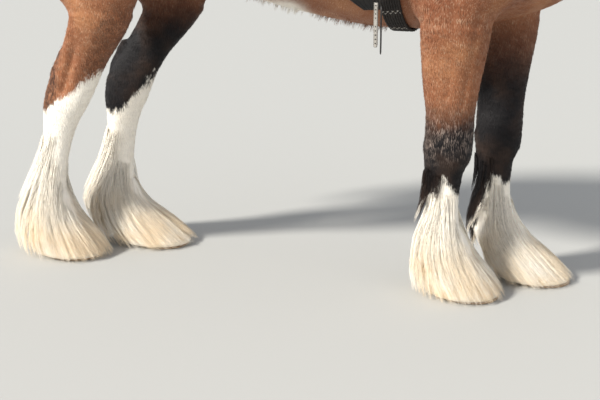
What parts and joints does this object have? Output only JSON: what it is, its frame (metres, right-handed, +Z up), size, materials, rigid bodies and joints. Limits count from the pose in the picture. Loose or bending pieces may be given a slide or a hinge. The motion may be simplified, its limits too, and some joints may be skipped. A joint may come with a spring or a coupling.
{
  "type": "clydesdale horse",
  "caption": "Standing bay draught horse with white feathered legs, full mane, short tail, and a pad and corded girth on its back.",
  "frame": {"origin": "on the floor, under the middle of the horse's outline seen from above", "axes": "+X forward along the horse, +Y to its left, +Z up"},
  "size_m": [2.8598, 0.7192, 2.2585],
  "materials": {
    "bay_coat": "short glossy orange-bay coat with roan flecks, shading to black points on the legs",
    "black_hair": "long black hair of mane, forelock and tail",
    "white_feather": "long silky cream-white feather, warmer low down",
    "hoof_horn": "worn yellow-brown hoof horn with growth rings",
    "eye": "wet dark brown eye",
    "black_pad": "smooth black pad cloth with a bound edge",
    "black_strap": "black strap leather",
    "grey_strap": "pale grey strap, punched and stitched",
    "girth_cord": "soft twisted girth cords, dark with pale ones between",
    "steel": "plain girth ring"
  },
  "bodies": {
    "root": {"barrel": "bay_coat", "girth": "girth_cord", "hanging_lace": "black_strap", "hanging_strap": "grey_strap", "head": "bay_coat", "left_ear": "bay_coat", "left_eye": "eye", "left_fore_cannon": "white_feather", "left_fore_hoof": "hoof_horn", "left_forearm": "bay_coat", "left_gaskin": "bay_coat", "left_girth_ring": "steel", "left_hind_cannon": "white_feather", "left_hind_hoof": "hoof_horn", "neck": "bay_coat", "quarters": "bay_coat", "right_ear": "bay_coat", "right_eye": "eye", "right_fore_cannon": "white_feather", "right_fore_hoof": "hoof_horn", "right_forearm": "bay_coat", "right_gaskin": "bay_coat", "right_girth_ring": "steel", "right_hind_cannon": "white_feather", "right_hind_hoof": "hoof_horn", "saddle_pad": "black_pad", "shoulders": "bay_coat", "surcingle": "black_strap", "tail": "black_hair"}
  },
  "joints": []
}
